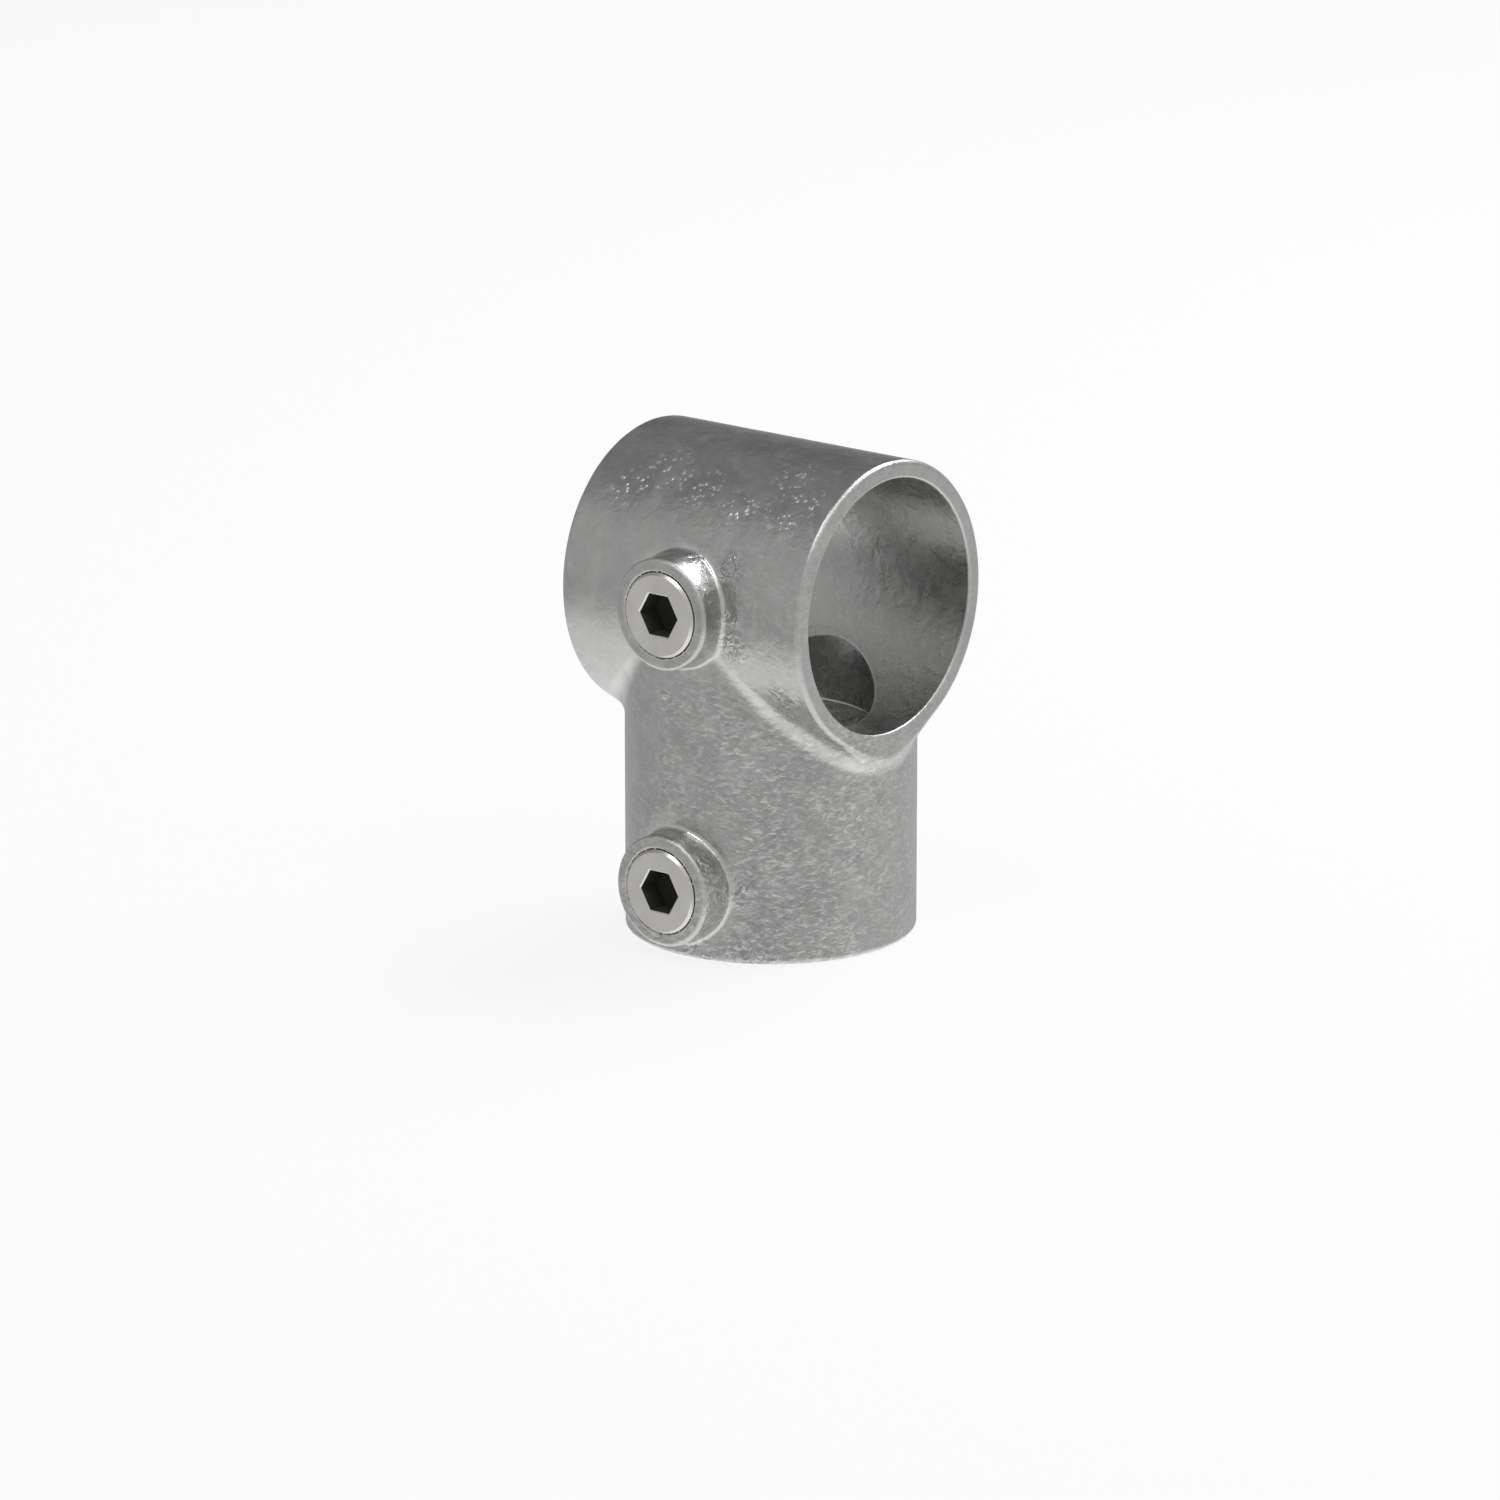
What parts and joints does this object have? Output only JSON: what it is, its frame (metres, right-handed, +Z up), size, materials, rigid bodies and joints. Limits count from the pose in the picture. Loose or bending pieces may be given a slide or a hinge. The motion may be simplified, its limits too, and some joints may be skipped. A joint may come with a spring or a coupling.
{
  "type": "tube clamp tee fitting",
  "caption": "Galvanised cast tee that joins an upright tube to the side of a through tube, each held by a set screw in a raised boss.",
  "frame": {"origin": "the point where the axes of the rail tube and the post tube cross, inside the rail sleeve", "axes": "+X along the rail sleeve, +Z up with the post socket opening downwards, the set screws face -Y"},
  "size_m": [0.0584, 0.063, 0.0973],
  "materials": {
    "galvanised_casting": "hot-dip galvanised, mottled mid grey, satin with bright spots on the rims and bosses",
    "plated_screw": "plated steel, smooth and evenly satin"
  },
  "bodies": {
    "casting": {"tee_body": "galvanised_casting"},
    "rail_screw": {"rail_set_screw": "plated_screw"},
    "post_screw": {"post_set_screw": "plated_screw"}
  },
  "joints": [
    {"name": "rail_screw_travel", "type": "slide", "parent": "casting", "child": "rail_screw", "axis": [0, 1, 0], "range_m": [-0.00401, 0.00134]},
    {"name": "post_screw_travel", "type": "slide", "parent": "casting", "child": "post_screw", "axis": [0, 1, 0], "range_m": [-0.00401, 0.00134]}
  ]
}
